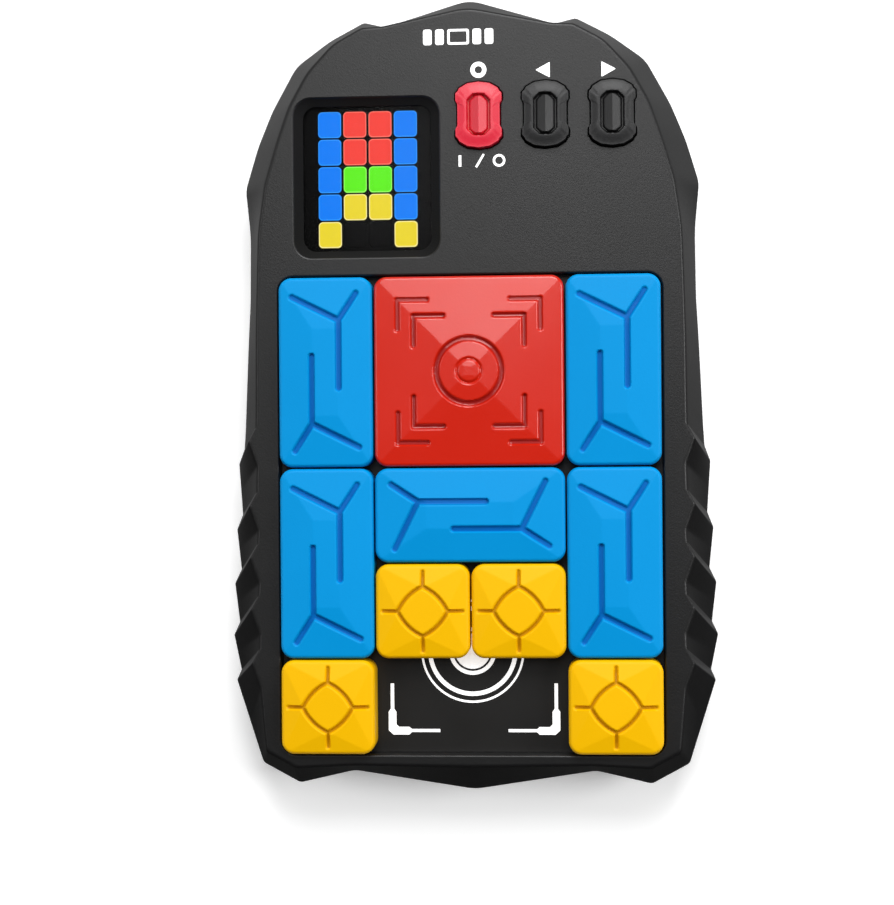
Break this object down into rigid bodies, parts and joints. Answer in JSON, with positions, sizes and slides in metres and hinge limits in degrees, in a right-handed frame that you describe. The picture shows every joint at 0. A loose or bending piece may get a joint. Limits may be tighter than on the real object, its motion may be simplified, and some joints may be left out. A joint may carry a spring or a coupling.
{
  "type": "electronic sliding tile puzzle",
  "caption": "Handheld electronic sliding tile puzzle: black toothed case, lit target display, shield-shaped buttons and a tray of red, blue and yellow magnetic tiles.",
  "frame": {"origin": "centre of the bounding box on the surface that the rubber feet stand on", "axes": "+X to the player's right, +Y toward the display end, +Z out of the playing face"},
  "size_m": [0.1142, 0.186, 0.0279],
  "materials": {
    "black_abs": "fine matte grain",
    "printed_mat": "satin film with white print",
    "smoked_lens": "clear smoked acrylic",
    "black_grid": "matte",
    "lamp_blue": "lit diffuser",
    "lamp_red": "lit diffuser",
    "lamp_green": "lit diffuser",
    "lamp_yellow": "lit diffuser",
    "circuit_board": "solder mask",
    "led_white": "phosphor",
    "chip_black": "moulded epoxy",
    "steel_plate": "plain",
    "ribbon_film": "film",
    "cell_jacket": "printed sleeve",
    "nickel_contact": "nickel plated",
    "zinc_screw": "zinc plated",
    "foot_rubber": "matte",
    "red_abs": "satin",
    "blue_abs": "satin",
    "yellow_abs": "satin",
    "magnet_nickel": "nickel plated",
    "red_cap": "satin",
    "black_cap": "matte",
    "plunger_plastic": "matte"
  },
  "bodies": {
    "console": {"front_shell": "black_abs", "back_shell": "black_abs", "tray_mat": "printed_mat", "display_lens": "smoked_lens", "light_grid": "black_grid", "blue_pixels": "lamp_blue", "red_pixels": "lamp_red", "green_pixels": "lamp_green", "yellow_pixels": "lamp_yellow", "main_board": "circuit_board", "led_chips": "led_white", "board_chips": "chip_black", "button_switches": "steel_plate", "sensor_board": "circuit_board", "hall_sensors": "chip_black", "tray_steel_plate": "steel_plate", "board_ribbon": "ribbon_film", "speaker": "steel_plate", "aaa_cells": "cell_jacket", "battery_contacts": "nickel_contact", "shell_screws": "zinc_screw", "board_screws": "zinc_screw", "rubber_feet": "foot_rubber", "spare_steel_plate": "steel_plate"},
    "battery_door": {"battery_door": "black_abs", "battery_door_screws": "zinc_screw"},
    "power_button": {"power_button_cap": "red_cap", "power_plunger": "plunger_plastic"},
    "previous_button": {"previous_button_cap": "black_cap", "previous_plunger": "plunger_plastic"},
    "next_button": {"next_button_cap": "black_cap", "next_plunger": "plunger_plastic"},
    "red_tile": {"red_tile": "red_abs", "red_magnets": "magnet_nickel"},
    "blue_tile_upper_left": {"blue_tile_upper_left": "blue_abs", "blue_upper_left_magnets": "magnet_nickel"},
    "blue_tile_upper_right": {"blue_tile_upper_right": "blue_abs", "blue_upper_right_magnets": "magnet_nickel"},
    "blue_tile_middle": {"blue_tile_middle": "blue_abs", "blue_middle_magnets": "magnet_nickel"},
    "blue_tile_lower_left": {"blue_tile_lower_left": "blue_abs", "blue_lower_left_magnets": "magnet_nickel"},
    "blue_tile_lower_right": {"blue_tile_lower_right": "blue_abs", "blue_lower_right_magnets": "magnet_nickel"},
    "yellow_tile_middle_left": {"yellow_tile_middle_left": "yellow_abs", "yellow_middle_left_magnet": "magnet_nickel"},
    "yellow_tile_middle_right": {"yellow_tile_middle_right": "yellow_abs", "yellow_middle_right_magnet": "magnet_nickel"},
    "yellow_tile_corner_left": {"yellow_tile_corner_left": "yellow_abs", "yellow_corner_left_magnet": "magnet_nickel"},
    "yellow_tile_corner_right": {"yellow_tile_corner_right": "yellow_abs", "yellow_corner_right_magnet": "magnet_nickel"},
    "spare_blue_tile_left": {"spare_blue_tile_left": "blue_abs", "spare_blue_left_magnets": "magnet_nickel"},
    "spare_blue_tile_right": {"spare_blue_tile_right": "blue_abs", "spare_blue_right_magnets": "magnet_nickel"},
    "spare_yellow_tile_upper": {"spare_yellow_tile_upper": "yellow_abs", "spare_yellow_upper_magnet": "magnet_nickel"},
    "spare_yellow_tile_lower": {"spare_yellow_tile_lower": "yellow_abs", "spare_yellow_lower_magnet": "magnet_nickel"}
  },
  "joints": [
    {"name": "battery_door_lift", "type": "slide", "parent": "console", "child": "battery_door", "axis": [0, 0, -1], "range_m": [0, 0.02]},
    {"name": "power_press", "type": "slide", "parent": "console", "child": "power_button", "axis": [0, 0, -1], "range_m": [0, 0.0006], "stiffness_N_per_m": 500},
    {"name": "previous_press", "type": "slide", "parent": "console", "child": "previous_button", "axis": [0, 0, -1], "range_m": [0, 0.0006], "stiffness_N_per_m": 500},
    {"name": "next_press", "type": "slide", "parent": "console", "child": "next_button", "axis": [0, 0, -1], "range_m": [0, 0.0006], "stiffness_N_per_m": 500},
    {"name": "red_tile_lift", "type": "slide", "parent": "console", "child": "red_tile", "axis": [0, 0, 1], "range_m": [0, 0.02]},
    {"name": "blue_tile_upper_left_lift", "type": "slide", "parent": "console", "child": "blue_tile_upper_left", "axis": [0, 0, 1], "range_m": [0, 0.02]},
    {"name": "blue_tile_upper_right_lift", "type": "slide", "parent": "console", "child": "blue_tile_upper_right", "axis": [0, 0, 1], "range_m": [0, 0.02]},
    {"name": "blue_tile_middle_lift", "type": "slide", "parent": "console", "child": "blue_tile_middle", "axis": [0, 0, 1], "range_m": [0, 0.02]},
    {"name": "blue_tile_lower_left_lift", "type": "slide", "parent": "console", "child": "blue_tile_lower_left", "axis": [0, 0, 1], "range_m": [0, 0.02]},
    {"name": "blue_tile_lower_right_lift", "type": "slide", "parent": "console", "child": "blue_tile_lower_right", "axis": [0, 0, 1], "range_m": [0, 0.02]},
    {"name": "yellow_middle_left_slide", "type": "slide", "parent": "console", "child": "yellow_tile_middle_left", "axis": [0, 1, 0], "range_m": [-0.022, 0]},
    {"name": "yellow_middle_right_slide", "type": "slide", "parent": "console", "child": "yellow_tile_middle_right", "axis": [0, 1, 0], "range_m": [-0.022, 0]},
    {"name": "yellow_corner_left_slide", "type": "slide", "parent": "console", "child": "yellow_tile_corner_left", "axis": [1, 0, 0], "range_m": [0, 0.044]},
    {"name": "yellow_corner_right_slide", "type": "slide", "parent": "console", "child": "yellow_tile_corner_right", "axis": [-1, 0, 0], "range_m": [0, 0.044]},
    {"name": "spare_blue_tile_left_lift", "type": "slide", "parent": "console", "child": "spare_blue_tile_left", "axis": [0, 0, -1], "range_m": [0, 0.015]},
    {"name": "spare_blue_tile_right_lift", "type": "slide", "parent": "console", "child": "spare_blue_tile_right", "axis": [0, 0, -1], "range_m": [0, 0.015]},
    {"name": "spare_yellow_tile_upper_lift", "type": "slide", "parent": "console", "child": "spare_yellow_tile_upper", "axis": [0, 0, -1], "range_m": [0, 0.015]},
    {"name": "spare_yellow_tile_lower_lift", "type": "slide", "parent": "console", "child": "spare_yellow_tile_lower", "axis": [0, 0, -1], "range_m": [0, 0.015]}
  ]
}
